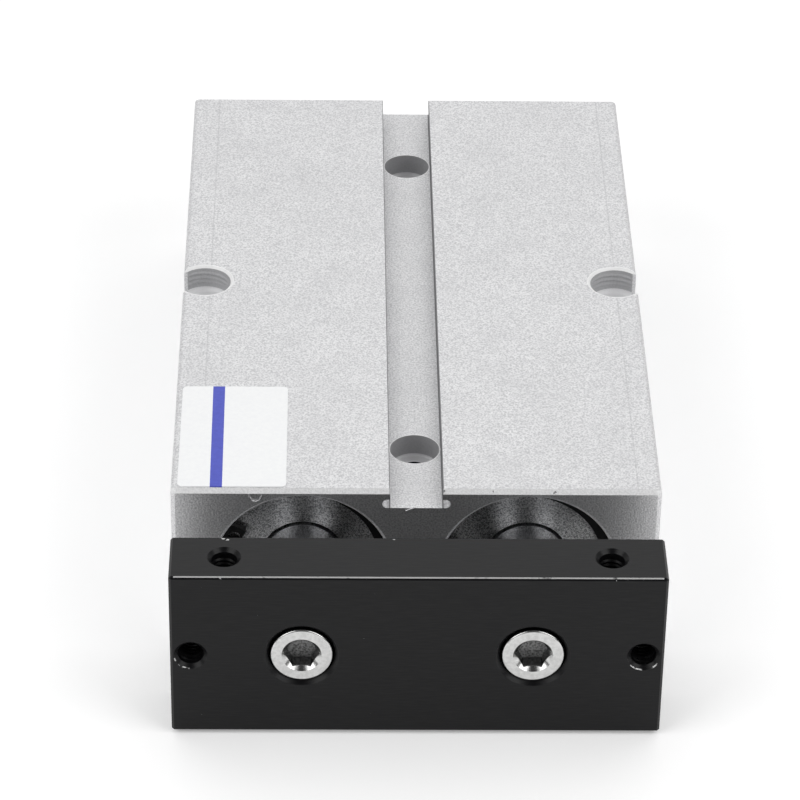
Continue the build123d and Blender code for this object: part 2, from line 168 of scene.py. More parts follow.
def makeBlastedBody(p=blastedBody):
    # extruded, blasted with glass beads and anodised: a pale soft grey whose blasted pits sparkle.
    # The die leaves a faint line along each side, and the cut ends and the holes' rims are brighter
    material, tree, place = startMaterial("bead-blasted clear anodised aluminium")
    axes = addNode(tree, "SeparateXYZ", None, {0: place}).outputs
    grit = addNode(tree, "TexNoise", {"Scale": 1 / (p["gritSize"] * mm), "Detail": 1.5}, {"Vector": place})
    tone = addNode(tree, "ValToRGB", {"stops": [(0.32, p["shade"]), (0.64, p["tone"])]}, {0: grit})
    patches = addNode(tree, "TexNoise", {"Scale": 1 / (p["patchSize"] * mm), "Detail": 3.0},
                      {"Vector": place})
    patches = addNode(tree, "MapRange", {1: p["patchLow"], 2: p["patchHigh"], 4: p["patchShare"]},
                      {0: patches})
    tone = addNode(tree, "Mix", {"data_type": "RGBA", 7: p["shade"]}, {0: patches, 6: tone})

    # height is the distance above or below mid-height; the skin lies within skinDepth of the top
    # or the underside
    height = addNode(tree, "Math", {"operation": "SUBTRACT", 1: float(bodyMiddle[2]) * mm}, {0: axes["Z"]})
    height = addNode(tree, "Math", {"operation": "ABSOLUTE"}, {0: height})
    skin = addNode(tree, "Math", {"operation": "GREATER_THAN", 1: (halfHeight - p["skinDepth"]) * mm},
                   {0: height})
    for x in p["dieLines"]:
        line = addNode(tree, "Math", {"operation": "COMPARE", 1: x * mm, 2: p["dieLineHalf"] * mm},
                       {0: axes["X"]})
        line = addNode(tree, "Math", {"operation": "MULTIPLY"}, {0: line, 1: skin})
        line = addNode(tree, "Math", {"operation": "MULTIPLY", 1: p["dieLineShare"]}, {0: line})
        tone = addNode(tree, "Mix", {"data_type": "RGBA", 7: p["dieShade"]}, {0: line, 6: tone})

    # painted shade: a dark line along the slots' lips stands in for the shade in the corner beside each lip
    # and the dark reflection of its rounded edge
    aside = addNode(tree, "Math", {"operation": "ABSOLUTE"}, {0: axes["X"]})
    lipPaintedShade = addNode(tree, "Math", {"operation": "COMPARE", 1: p["slotEdge"] * mm, 2: p["slotEdgeHalf"] * mm},
                  {0: aside})
    near = addNode(tree, "Math", {"operation": "GREATER_THAN", 1: (halfHeight - p["slotEdgeDepth"]) * mm},
                   {0: height})
    lipPaintedShade = addNode(tree, "Math", {"operation": "MULTIPLY"}, {0: lipPaintedShade, 1: near})
    tone = addNode(tree, "Mix", {"data_type": "RGBA", 7: p["slotEdgePaintedShade"]}, {0: lipPaintedShade, 6: tone})

    # rims of the ports and of the screw pockets, each a ring about its axis: (|x|, y) lies between
    # the ring's two radii, and the point is no deeper than the rim. Within the ring the drilled
    # hole is matt and its wall is painted a grey shade, its floor is pale, and the screw's hole
    # through the floor is painted a dark shade
    flat = addNode(tree, "CombineXYZ", None, {"X": aside, "Y": axes["Y"]})
    rings = [(float(portPlace[0]), float(portPlace[1]), portDims["r_mm"], p["rimWidth"], p["rimDepth"],
              p["portFloor"], 0.0)]
    rings += [(0.0, y, pocketRadius, p["pocketRimWidth"], p["pocketRimDepth"], p["pocketFloor"],
               boltDims["hole_r_mm"] + p["rimStart"]) for y in pocketPlaces]
    # the ports are in the top alone, and their rings stop short of the side faces
    upper = addNode(tree, "Math", {"operation": "GREATER_THAN", 1: float(bodyMiddle[2]) * mm},
                    {0: axes["Z"]})
    within = addNode(tree, "Math", {"operation": "LESS_THAN", 1: float(bodyHigh[0] - p["margin"]) * mm},
                     {0: aside})
    within = addNode(tree, "Math", {"operation": "MULTIPLY"}, {0: within, 1: upper})
    rims, holes, floors, bores = None, None, None, None
    # wall is the hole's radius, and through the radius of the screw's hole, or 0 where there is none
    for x, y, wall, width, depth, floorDepth, through in rings:
        away = addNode(tree, "VectorMath", {"operation": "DISTANCE", 1: (x * mm, y * mm, 0)}, {0: flat})
        away = away.outputs["Value"]
        ring = addNode(tree, "Math", {"operation": "COMPARE", 1: (wall + p["rimStart"] + width / 2) * mm,
                                      2: width / 2 * mm}, {0: away})
        near = addNode(tree, "Math", {"operation": "GREATER_THAN", 1: (halfHeight - depth) * mm},
                       {0: height})
        ring = addNode(tree, "Math", {"operation": "MULTIPLY"}, {0: ring, 1: near})
        hole = addNode(tree, "Math", {"operation": "LESS_THAN", 1: (wall + p["rimStart"]) * mm}, {0: away})
        if not through:
            ring = addNode(tree, "Math", {"operation": "MULTIPLY"}, {0: ring, 1: within})
            hole = addNode(tree, "Math", {"operation": "MULTIPLY"}, {0: hole, 1: within})
        floor = addNode(tree, "Math", {"operation": "LESS_THAN", 1: (halfHeight - floorDepth) * mm},
                        {0: height})
        floor = addNode(tree, "Math", {"operation": "MULTIPLY"}, {0: hole, 1: floor})
        bore = addNode(tree, "Math", {"operation": "LESS_THAN", 1: through * mm}, {0: away})
        if rims is not None:
            ring = addNode(tree, "Math", {"operation": "MAXIMUM"}, {0: rims, 1: ring})
            hole = addNode(tree, "Math", {"operation": "MAXIMUM"}, {0: holes, 1: hole})
            floor = addNode(tree, "Math", {"operation": "MAXIMUM"}, {0: floors, 1: floor})
            bore = addNode(tree, "Math", {"operation": "MAXIMUM"}, {0: bores, 1: bore})
        rims, holes, floors, bores = ring, hole, floor, bore
    # painted shade: the holes' walls are laid grey and the screws' holes dark, and the floors pale
    holes = addNode(tree, "Math", {"operation": "MULTIPLY", 1: p["holeShare"]}, {0: holes})
    for mask, code in ((holes, p["holePaintedShade"]), (floors, p["floorTone"]), (bores, p["borePaintedShade"])):
        tone = addNode(tree, "Mix", {"data_type": "RGBA", 7: code}, {0: mask, 6: tone})

    # the two cut ends, for edgeBand millimetres along the skin
    along = addNode(tree, "Math", {"operation": "SUBTRACT", 1: float(bodyMiddle[1]) * mm}, {0: axes["Y"]})
    along = addNode(tree, "Math", {"operation": "ABSOLUTE"}, {0: along})
    bandStart = halfLength - p["edgeBand"]
    band = addNode(tree, "MapRange", {1: bandStart * mm, 2: (bandStart + p["edgeFade"]) * mm}, {0: along})
    near = addNode(tree, "Math", {"operation": "GREATER_THAN", 1: (halfHeight - p["edgeBand"]) * mm},
                   {0: height})
    band = addNode(tree, "Math", {"operation": "MULTIPLY"}, {0: band, 1: near})
    band = addNode(tree, "Math", {"operation": "MULTIPLY", 1: p["edgeShare"]}, {0: band})
    rims = addNode(tree, "Math", {"operation": "MULTIPLY", 1: p["rimShare"]}, {0: rims})
    band = addNode(tree, "Math", {"operation": "MAXIMUM"}, {0: band, 1: rims})
    tone = addNode(tree, "Mix", {"data_type": "RGBA", 7: p["bare"]}, {0: band, 6: tone})
    tone = addNode(tree, "Mix", {"data_type": "RGBA", 7: p["nickShade"]},
                   {0: markedSpots(tree, place, p["nicks"]), 6: tone})

    # the blasted skin scatters half of its light, and the milled ends mirror theirs; bared edges
    # and drilled holes scatter most of it
    ends = addNode(tree, "Math", {"operation": "GREATER_THAN", 1: (halfLength - p["margin"]) * mm},
                   {0: along})
    milled = addNode(tree, "MapRange", {3: p["skinMetallic"], 4: p["endMetallic"]}, {0: ends})
    matt = addNode(tree, "Math", {"operation": "MAXIMUM"}, {0: band, 1: holes})
    roughness = addNode(tree, "MapRange", {3: p["roughness"], 4: p["mattRoughness"]}, {0: matt})
    metallic = addNode(tree, "MapRange", {4: p["mattMetallic"]}, {0: matt, 3: milled})
    relief = addNode(tree, "Bump", {"Distance": p["gritDepth"] * mm}, {"Height": grit})
    closeMaterial(tree, None, {"Base Color": tone, "Metallic": metallic, "Roughness": roughness,
                               "Normal": relief})
    return material


# End plate: satin black anodised aluminium

blackPlate = {
    "tone": "#0C0C0E", "worn": "#171718", "bare": "#C6C6C6",
    "streakSize": 0.25, "streakLength": 14, "streakDepth": 0.002, "roughness": 0.3, "specular": 0.22,
    # a painted highlight along the top of the front edge's chamfer, and the metal it is given
    "highlightHeight": 0.17, "highlightDepth": 0.4, "highlightEnd": 38.7, "highlightAndWearMetallic": 0.25,
    "chipSize": 1.1, "chipLow": 0.3, "chipHigh": 0.42, "chipShare": 0.15,
    "dustSize": 0.42, "dustLow": 0.77, "dustHigh": 0.8, "dustShare": 0.5,
    # a painted glint at the lower rims of the front threads' mouths
    "holeRim": 2.66, "holeRimWidth": 0.18, "glintDrop": 0.6, "glintLow": 0.5, "glintHigh": 0.56,
    "nicks": [(-31.1, -75.25, 31.2, 0.2), (31.2, -75.25, 31.15, 0.2), (-3.8, -65.3, 31.5, 0.18),
              (-31.2, -65.1, 31.5, 0.28), (-30.4, -65.4, 31.5, 0.2)],
}


def makeBlackPlate(p=blackPlate):
    # milled, then dyed black in the anodising bath: near black with a satin gloss, faint milling
    # streaks along it, and a painted highlight along the top of the edge over the front
    material, tree, place = startMaterial("satin black anodised aluminium")
    axes = addNode(tree, "SeparateXYZ", None, {0: place}).outputs
    drawn = addNode(tree, "Mapping", {"Scale": (1 / p["streakLength"], 1, 1)}, {"Vector": place})
    streaks = addNode(tree, "TexNoise", {"Scale": 1 / (p["streakSize"] * mm), "Detail": 2.0},
                      {"Vector": drawn})
    tone = addNode(tree, "ValToRGB", {"stops": [(0.4, p["tone"]), (0.75, p["worn"])]}, {0: streaks})
    dust = addNode(tree, "TexNoise", {"Scale": 1 / (p["dustSize"] * mm), "Detail": 5.0}, {"Vector": place})
    dust = addNode(tree, "MapRange", {1: p["dustLow"], 2: p["dustHigh"], 4: p["dustShare"]}, {0: dust})

    # a painted highlight lies along the top of the front edge's chamfer, broken by small chips
    aside = addNode(tree, "Math", {"operation": "ABSOLUTE"}, {0: axes["X"]})
    highlightFoot = float(plateHigh[2] - p["highlightHeight"])
    high = addNode(tree, "Math", {"operation": "GREATER_THAN", 1: highlightFoot * mm}, {0: axes["Z"]})
    front = addNode(tree, "Math", {"operation": "LESS_THAN", 1: float(plateLow[1] + p["highlightDepth"]) * mm},
                    {0: axes["Y"]})
    inner = addNode(tree, "Math", {"operation": "LESS_THAN", 1: p["highlightEnd"] * mm}, {0: aside})
    chips = addNode(tree, "TexNoise", {"Scale": 1 / (p["chipSize"] * mm), "Detail": 4.0}, {"Vector": place})
    kept = addNode(tree, "MapRange", {1: p["chipLow"], 2: p["chipHigh"], 3: p["chipShare"]}, {0: chips})
    highlightAndWear = addNode(tree, "Math", {"operation": "MULTIPLY"}, {0: high, 1: front})
    highlightAndWear = addNode(tree, "Math", {"operation": "MULTIPLY"}, {0: highlightAndWear, 1: inner})
    highlightAndWear = addNode(tree, "Math", {"operation": "MULTIPLY"}, {0: highlightAndWear, 1: kept})

    # painted glints of burrs lie in the lower part of the front threads' mouths: (|x|, z) lies close
    # to holeRim from the hole's axis and at least glintDrop below it
    flat = addNode(tree, "CombineXYZ", None, {"X": aside, "Z": axes["Z"]})
    holePlace, holeDims = mountOf("plate_front_threads")
    middle = (holeDims["spacing_x_mm"] / 2 * mm, 0, float(holePlace[2]) * mm)
    away = addNode(tree, "VectorMath", {"operation": "DISTANCE", 1: middle}, {0: flat})
    rim = addNode(tree, "Math", {"operation": "COMPARE", 1: p["holeRim"] * mm,
                                 2: p["holeRimWidth"] / 2 * mm}, {0: away.outputs["Value"]})
    below = addNode(tree, "Math", {"operation": "LESS_THAN", 1: float(holePlace[2] - p["glintDrop"]) * mm},
                    {0: axes["Z"]})
    paintedGlint = addNode(tree, "MapRange", {1: p["glintLow"], 2: p["glintHigh"]}, {0: chips})
    for mask in (below, rim, front):
        paintedGlint = addNode(tree, "Math", {"operation": "MULTIPLY"}, {0: paintedGlint, 1: mask})
    # the bare tone lays the painted highlight, the painted glints, the white nicks and the dust over the
    # black
    for mask in (paintedGlint, markedSpots(tree, place, p["nicks"]), dust):
        highlightAndWear = addNode(tree, "Math", {"operation": "MAXIMUM"}, {0: highlightAndWear, 1: mask})
    tone = addNode(tree, "Mix", {"data_type": "RGBA", 7: p["bare"]}, {0: highlightAndWear, 6: tone})

    metallic = addNode(tree, "MapRange", {4: p["highlightAndWearMetallic"]}, {0: highlightAndWear})
    relief = addNode(tree, "Bump", {"Distance": p["streakDepth"] * mm}, {"Height": streaks})
    closeMaterial(tree, {"Roughness": p["roughness"], "Specular IOR Level": p["specular"]},
                  {"Base Color": tone, "Metallic": metallic, "Normal": relief})
    return material


# Covers, and the pistons inside: turned aluminium

def aroundBore(tree, place):
    # the way from the nearer bore's axis to the point: the point less (the bore's x on the point's
    # side, the point's own y, the bore's z), and that way's length
    axes = addNode(tree, "SeparateXYZ", None, {0: place}).outputs
    side = addNode(tree, "Math", {"operation": "SIGN"}, {0: axes["X"]})
    axisX = addNode(tree, "Math", {"operation": "MULTIPLY", 1: float(boreMiddle[0]) * mm}, {0: side})
    axis = addNode(tree, "CombineXYZ", {"Z": float(boreMiddle[2]) * mm}, {"X": axisX, "Y": axes["Y"]})
    outward = addNode(tree, "VectorMath", {"operation": "SUBTRACT"}, {0: place, 1: axis})
    distance = addNode(tree, "VectorMath", {"operation": "LENGTH"}, {0: outward}).outputs["Value"]
    return outward, distance


turnedCover = {
    "tone": "#FAFAFA", "shade": "#969698", "pit": "#4A4A4C",
    "toolPitch": 0.2, "toolDepth": 0.003, "grainSize": 0.2, "grainDepth": 0.03, "grainShare": 0.8,
    "pitSize": 0.5, "pitLow": 0.6, "pitHigh": 0.68, "pitShare": 0.6, "roughness": 0.42, "anisotropic": 0.92,
}


def makeTurnedCover(p=turnedCover):
    # bar turned on a lathe: rings about 0.1 mm apart, drawn at twice that so that they show. The
    # tangent points outwards, because light spreads across the rings, so highlights fan out
    material, tree, place = startMaterial("turned aluminium")
    outward, distance = aroundBore(tree, place)
    rings = addNode(tree, "TexNoise", {"noise_dimensions": "1D", "Scale": 1 / (p["toolPitch"] * mm),
                                       "Detail": 1.0}, {"W": distance})
    grain = addNode(tree, "TexNoise", {"Scale": 1 / (p["grainSize"] * mm), "Detail": 2.0}, {"Vector": place})
    mixed = addNode(tree, "Mix", {0: p["grainShare"]}, {2: rings, 3: grain})
    tone = addNode(tree, "ValToRGB", {"stops": [(0.38, p["shade"]), (0.58, p["tone"])]}, {0: mixed})
    pits = addNode(tree, "TexNoise", {"Scale": 1 / (p["pitSize"] * mm), "Detail": 5.0}, {"Vector": place})
    pits = addNode(tree, "MapRange", {1: p["pitLow"], 2: p["pitHigh"], 4: p["pitShare"]}, {0: pits})
    tone = addNode(tree, "Mix", {"data_type": "RGBA", 7: p["pit"]}, {0: pits, 6: tone})
    ridges = addNode(tree, "Bump", {"Distance": p["toolDepth"] * mm}, {"Height": rings})
    relief = addNode(tree, "Bump", {"Distance": p["grainDepth"] * mm}, {"Height": grain, "Normal": ridges})
    closeMaterial(tree, {"Metallic": 1.0, "Roughness": p["roughness"], "Anisotropic": p["anisotropic"]},
                  {"Base Color": tone, "Normal": relief, "Tangent": outward})
    return material


turnedPiston = {
    "tone": "#CFCFD1", "shade": "#A9A9AC", "toolPitch": 0.25, "toolDepth": 0.004, "roughness": 0.32,
}


def makeTurnedPiston(p=turnedPiston):
    # free-cutting aluminium bar, turned: bright rings round the axis
    material, tree, place = startMaterial("turned free-cutting aluminium")
    distance = aroundBore(tree, place)[1]
    rings = addNode(tree, "TexNoise", {"noise_dimensions": "1D", "Scale": 1 / (p["toolPitch"] * mm),
                                       "Detail": 1.0}, {"W": distance})
    tone = addNode(tree, "ValToRGB", {"stops": [(0.35, p["shade"]), (0.65, p["tone"])]}, {0: rings})
    relief = addNode(tree, "Bump", {"Distance": p["toolDepth"] * mm}, {"Height": rings})
    closeMaterial(tree, {"Metallic": 1.0, "Roughness": p["roughness"]},
                  {"Base Color": tone, "Normal": relief})
    return material


# Rods: hard chrome plate

chromeRod = {
    "tone": "#DADBDE", "haze": "#C6C7CA", "roughness": 0.12,
    "grindSize": 0.15, "grindLength": 40, "grindDepth": 0.0006,
}


def makeChromeRod(p=chromeRod):
    # steel ground round, plated and polished: a bright mirror with the faintest rings of the wheel
    material, tree, place = startMaterial("hard chrome plate")
    drawn = addNode(tree, "Mapping", {"Scale": (1 / p["grindLength"], 1, 1 / p["grindLength"])},
                    {"Vector": place})
    rings = addNode(tree, "TexNoise", {"Scale": 1 / (p["grindSize"] * mm), "Detail": 2.0}, {"Vector": drawn})
    tone = addNode(tree, "ValToRGB", {"stops": [(0.4, p["tone"]), (0.65, p["haze"])]}, {0: rings})
    relief = addNode(tree, "Bump", {"Distance": p["grindDepth"] * mm}, {"Height": rings})
    closeMaterial(tree, {"Metallic": 1.0, "Roughness": p["roughness"]},
                  {"Base Color": tone, "Normal": relief})
    return material


# Circlips: phosphated spring steel

phosphatedClip = {
    "tone": "#0A0A0B", "worn": "#2E2E2F", "roughness": 0.42, "specular": 0.3,
    "crystalSize": 0.12, "crystalDepth": 0.003,
}


def makePhosphatedClip(p=phosphatedClip):
    # stamped, phosphated and oiled: black with a fine crystal grain, greyer where it has rubbed
    material, tree, place = startMaterial("phosphated spring steel")
    crystals = addNode(tree, "TexNoise", {"Scale": 1 / (p["crystalSize"] * mm), "Detail": 3.0},
                       {"Vector": place})
    tone = addNode(tree, "ValToRGB", {"stops": [(0.55, p["tone"]), (0.8, p["worn"])]}, {0: crystals})
    relief = addNode(tree, "Bump", {"Distance": p["crystalDepth"] * mm}, {"Height": crystals})
    closeMaterial(tree, {"Roughness": p["roughness"], "Specular IOR Level": p["specular"]},
                  {"Base Color": tone, "Normal": relief})
    return material


# Plate screws: bright zinc plated steel

zincScrew = {
    "tone": "#D4D4D3", "shade": "#C6C6C5",
    # the socket's wall is laid a darker grey as painted shade
    "wall": "#8C8C8C", "floorTone": "#A8A8A8", "floorShade": "#5A5A5A",
    "roughness": 0.2, "floorRoughness": 0.6, "floorMetallic": 0.25, "forgeSize": 0.6, "forgeDepth": 0.006,
    "scuffSize": 0.3, "scuffDepth": 0.06,
    # the socket's wall and floor, as depths behind the plate's front
    "socketRadius": 3.2, "wallStart": 0.9, "floorStart": 2.95, "floorFade": 0.1,
}


def makeZincScrew(p=zincScrew):
    # cold forged and plated: pale metal with the soft dents of forging. The plating hardly reaches
    # the bottom of the socket, which the punch leaves grey and scuffed
    material, tree, place = startMaterial("bright zinc plated steel")
    axes = addNode(tree, "SeparateXYZ", None, {0: place}).outputs
    forged = addNode(tree, "TexNoise", {"Scale": 1 / (p["forgeSize"] * mm)}, {"Vector": place})
    tone = addNode(tree, "ValToRGB", {"stops": [(0.35, p["tone"]), (0.65, p["shade"])]}, {0: forged})
    distance = aroundBore(tree, place)[1]
    inSocket = addNode(tree, "Math", {"operation": "LESS_THAN", 1: p["socketRadius"] * mm}, {0: distance})
    # painted shade: the socket's wall, from wallStart behind the plate's front, is laid a darker grey
    wall = addNode(tree, "Math", {"operation": "GREATER_THAN", 1: float(plateLow[1] + p["wallStart"]) * mm},
                   {0: axes["Y"]})
    wall = addNode(tree, "Math", {"operation": "MULTIPLY"}, {0: wall, 1: inSocket})
    tone = addNode(tree, "Mix", {"data_type": "RGBA", 7: p["wall"]}, {0: wall, 6: tone})
    floor = float(plateLow[1] + p["floorStart"])
    bottom = addNode(tree, "MapRange", {1: floor * mm, 2: (floor + p["floorFade"]) * mm}, {0: axes["Y"]})
    bottom = addNode(tree, "Math", {"operation": "MULTIPLY"}, {0: bottom, 1: inSocket})
    scuffs = addNode(tree, "TexNoise", {"Scale": 1 / (p["scuffSize"] * mm), "Detail": 4.0},
                     {"Vector": place})
    scuffed = addNode(tree, "ValToRGB", {"stops": [(0.35, p["floorShade"]), (0.62, p["floorTone"])]},
                      {0: scuffs})
    tone = addNode(tree, "Mix", {"data_type": "RGBA"}, {0: bottom, 6: tone, 7: scuffed})
    roughness = addNode(tree, "MapRange", {3: p["roughness"], 4: p["floorRoughness"]}, {0: bottom})
    metallic = addNode(tree, "MapRange", {3: 1.0, 4: p["floorMetallic"]}, {0: bottom})
    dents = addNode(tree, "Bump", {"Distance": p["forgeDepth"] * mm}, {"Height": forged})
    relief = addNode(tree, "Bump", {"Distance": p["scuffDepth"] * mm},
                     {"Strength": bottom, "Height": scuffs, "Normal": dents})
    closeMaterial(tree, None, {"Base Color": tone, "Metallic": metallic, "Roughness": roughness,
                               "Normal": relief})
    return material


# Label: gloss white vinyl with one printed stripe

vinylLabel = {
    "white": "#F9FAFA", "shade": "#F5F6F7", "ink": "#4551C4", "inkShade": "#3D48BA",
    "stripeStart": 5.1, "stripeWidth": 2.0, "lean": -0.0065, "peelSize": 0.6, "peelDepth": 0.002,
    "roughness": 0.34,
}


def makeVinylLabel(p=vinylLabel):
    # self-adhesive vinyl under a clear gloss film: white, with a blue stripe printed along it that
    # leans a little; the film's peel is faint
    material, tree, place = startMaterial("gloss white vinyl")
    axes = addNode(tree, "SeparateXYZ", None, {0: place}).outputs
    peel = addNode(tree, "TexNoise", {"Scale": 1 / (p["peelSize"] * mm)}, {"Vector": place})
    white = addNode(tree, "ValToRGB", {"stops": [(0.3, p["white"]), (0.7, p["shade"])]}, {0: peel})
    ink = addNode(tree, "ValToRGB", {"stops": [(0.3, p["ink"]), (0.7, p["inkShade"])]}, {0: peel})
    # x is straightened by lean times the distance from the label's rear end
    leaning = addNode(tree, "Math", {"operation": "MULTIPLY_ADD", 1: -p["lean"]},
                      {0: axes["Y"], 2: axes["X"]})
    halfStripe = p["stripeWidth"] / 2
    stripeMiddle = float(labelLow[0]) + p["stripeStart"] + halfStripe - p["lean"] * float(labelHigh[1])
    stripe = addNode(tree, "Math", {"operation": "COMPARE", 1: stripeMiddle * mm, 2: halfStripe * mm},
                     {0: leaning})
    tone = addNode(tree, "Mix", {"data_type": "RGBA"}, {0: stripe, 6: white, 7: ink})
    relief = addNode(tree, "Bump", {"Distance": p["peelDepth"] * mm}, {"Height": peel})
    closeMaterial(tree, {"Roughness": p["roughness"]}, {"Base Color": tone, "Normal": relief})
    return material


# Pieces inside, seen when the cylinder is taken apart

innerFinishes = {
    # powder bronze, pressed and filled with oil: dull brown and open-pored
    "sintered bronze": {"slot": "bush_bronze", "tone": "#A97C50", "shade": "#6E4C30", "metallic": 1.0,
                        "roughness": 0.5, "size": 0.15, "depth": 0.01},
    # moulded black rubber: matt, with a faint bloom
    "nitrile rubber": {"slot": "seal_rubber", "tone": "#161616", "shade": "#2A2A2A", "metallic": 0.0,
                       "roughness": 0.62, "size": 0.5, "depth": 0.006},
    # low-friction strip: off-white, with fine filler specks
    "filled guide plastic": {"slot": "guide_plastic", "tone": "#DAD4C4", "shade": "#B7AF9B", "metallic": 0.0,
                             "roughness": 0.5, "size": 0.2, "depth": 0.004},
    # fired ceramic magnet: charcoal grey and slightly rough
    "pressed ferrite": {"slot": "magnet_ceramic", "tone": "#3A3A3C", "shade": "#242426", "metallic": 0.0,
                        "roughness": 0.55, "size": 0.12, "depth": 0.006},
    # drawn rod pressed into its hole: grey, dented by the punch
    "drawn plain steel": {"slot": "plug_steel", "tone": "#A8A8A8", "shade": "#7C7C7C", "metallic": 1.0,
                          "roughness": 0.35, "size": 0.3, "depth": 0.004},
}


def makeInnerFinish(name, p):
    material, tree, place = startMaterial(name)
    lumps = addNode(tree, "TexNoise", {"Scale": 1 / (p["size"] * mm), "Detail": 3.0}, {"Vector": place})
    tone = addNode(tree, "ValToRGB", {"stops": [(0.35, p["tone"]), (0.7, p["shade"])]}, {0: lumps})
    relief = addNode(tree, "Bump", {"Distance": p["depth"] * mm}, {"Height": lumps})
    closeMaterial(tree, {"Metallic": p["metallic"], "Roughness": p["roughness"]},
                  {"Base Color": tone, "Normal": relief})
    return material


finishes = {
    "anodised_body": makeBlastedBody(),
    "black_plate": makeBlackPlate(),
    "turned_cover": makeTurnedCover(),
    "piston_aluminium": makeTurnedPiston(),
    "rod_chrome": makeChromeRod(),
    "circlip_steel": makePhosphatedClip(),
    "screw_steel": makeZincScrew(),
    "label_vinyl": makeVinylLabel(),
}
for finishName, finishSettings in innerFinishes.items():
    finishes[finishSettings["slot"]] = makeInnerFinish(finishName, finishSettings)
for part in frame["record"]["subparts"]:
    frame["nodes"][part["node"]].material_slots[0].material = finishes[part["material_slot"]]
print("finishes made:", len(finishes))


# New pieces, each a closed outline carried along a path

def sweptPiece(name, sweeps, slotName, body):
    # each sweep is an array (steps, corners, 3) in millimetres: the outline's corners at each step
    # of the path. Neighbours are joined into quads, and the first and last outlines are capped
    corners, faces, start = [], [], 0
    for points in sweeps:
        steps, sides = points.shape[:2]
        index = start + np.arange(steps * sides).reshape(steps, sides)
        index = np.concatenate([index, index[:, :1]], axis=1)
        quads = np.stack([index[:-1, :-1], index[:-1, 1:], index[1:, 1:], index[1:, :-1]], axis=-1)
        faces += quads.reshape(-1, 4).tolist()
        faces += [index[0, :-1][::-1].tolist(), index[-1, :-1].tolist()]
        corners.append(points.reshape(-1, 3))
        start += steps * sides
    mesh = bpy.data.meshes.new(name)
    mesh.from_pydata((np.concatenate(corners) * mm).tolist(), [], faces)
    mesh.materials.append(finishes[slotName])
    piece = bpy.data.objects.new(name, mesh)
    bpy.context.scene.collection.objects.link(piece)
    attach(piece, body)


def ringSweep(mouth, inward, angles, radius, depth):
    # a point at each angle round the hole's axis, radius from it and depth in from its mouth;
    # radius and depth are (steps, corners), and angles is one for each step
    inward = np.array(inward, float)
    across = np.array([1.0, 0, 0])
    other = np.cross(inward, across)
    circle = np.cos(angles)[:, None] * across + np.sin(angles)[:, None] * other
    return np.array(mouth) + radius[..., None] * circle[:, None, :] + depth[..., None] * inward


sunk = 0.02        # how far a new piece reaches into the wall or floor that carries it
threadShape = {
    # half widths of the ridge's foot and crest, and how far it may rise above its start, in pitches
    "foot": 0.48, "crest": 0.06, "rise": 0.3,
    # a run-out at each end, in pitches, and the share of the height that is left where it stops
    "runOut": 1 / 3, "least": 0.05,
}


def threadRidge(mouth, inward, wallRadius, start, end, pitch, height, arc=None, stepsPerTurn=48,
                p=threadShape):
    # one screw thread: at angle a the ridge lies start + pitch * a / (2 pi) deep and stands height
    # in from the wall. Where arc gives the angles that have wall, each turn is a strip of its own
    turns = (end - start) / pitch
    spans = [(0.0, turns * 2 * pi)]
    if arc is not None:
        spans = [(turn * 2 * pi + arc[0], turn * 2 * pi + arc[1]) for turn in range(int(np.ceil(turns)))]
    sweeps = []
    for low, high in spans:
        angles = np.linspace(low, high, max(int(stepsPerTurn * (high - low) / (2 * pi)), 4))
        middle = (start + pitch * angles / (2 * pi))[:, None]
        toEnd = np.minimum(middle - start, end - middle)        # depth to the nearer end
        runOut = np.clip(toEnd / (pitch * p["runOut"]), p["least"], 1.0)
        # corners: the upper foot, the crest's two edges and the lower foot
        radius = wallRadius + sunk - (height + sunk) * np.array([[0.0, 1.0, 1.0, 0.0]]) * runOut
        across = np.array([[-p["foot"], -p["crest"], p["crest"], p["foot"]]])
        depth = np.maximum(middle + pitch * across, start - p["rise"] * pitch)
        sweeps.append(ringSweep(mouth, inward, angles, radius, depth))
    return sweeps


def cornerRing(mouth, inward, wallRadius, depth, cornerRadius, arc=(0.0, 2 * pi), steps=56, cornerSteps=7):
    # the rounded corner that a drill leaves between wall and floor: a quarter circle hollowed out
    # of a small square, carried round the hole
    angles = np.linspace(arc[0], arc[1], steps)
    quarter = np.linspace(0, pi / 2, cornerSteps)
    radius = wallRadius + sunk - np.append(cornerRadius * (1 - np.cos(quarter)), 0.0)
    level = depth + sunk - np.append(cornerRadius * (1 - np.sin(quarter)), 0.0)
    section = np.ones((steps, 1))
    return ringSweep(mouth, inward, angles, section * radius, section * level)


# Ports: a pipe thread in the upper part of the hole, and a rounded corner round its floor

portDetail = {
    "pitch": 25.4 / 28, "height": 0.15, "start": 0.7, "turns": 3.0,        # 1/8 inch pipe thread
    "openHalfAngle": 46.5, "depth": 5.0, "cornerRadius": 0.8,
}


def addPortDetail(p=portDetail):
    for side, facing in (("left", pi), ("right", 0.0)):
        place, dims = mountOf(side + "_port")
        mouth = (place[0], place[1], bodyHigh[2])
        # the wall is missing within openHalfAngle of the way out to the side
        arc = (facing + radians(p["openHalfAngle"]), facing + 2 * pi - radians(p["openHalfAngle"]))
        end = p["start"] + p["turns"] * p["pitch"]
        sweeps = threadRidge(mouth, (0, 0, -1), dims["r_mm"], p["start"], end, p["pitch"], p["height"], arc)
        sweptPiece(side + "_port_thread", sweeps, "anodised_body", "cylinder")
        corner = cornerRing(mouth, (0, 0, -1), dims["r_mm"], p["depth"], p["cornerRadius"], arc)
        sweptPiece(side + "_port_corner", [corner], "anodised_body", "cylinder")


# Screw pockets in the slots' floors: a rounded corner round each floor

pocketDetail = {"depth": 4.1, "cornerRadius": 0.35}


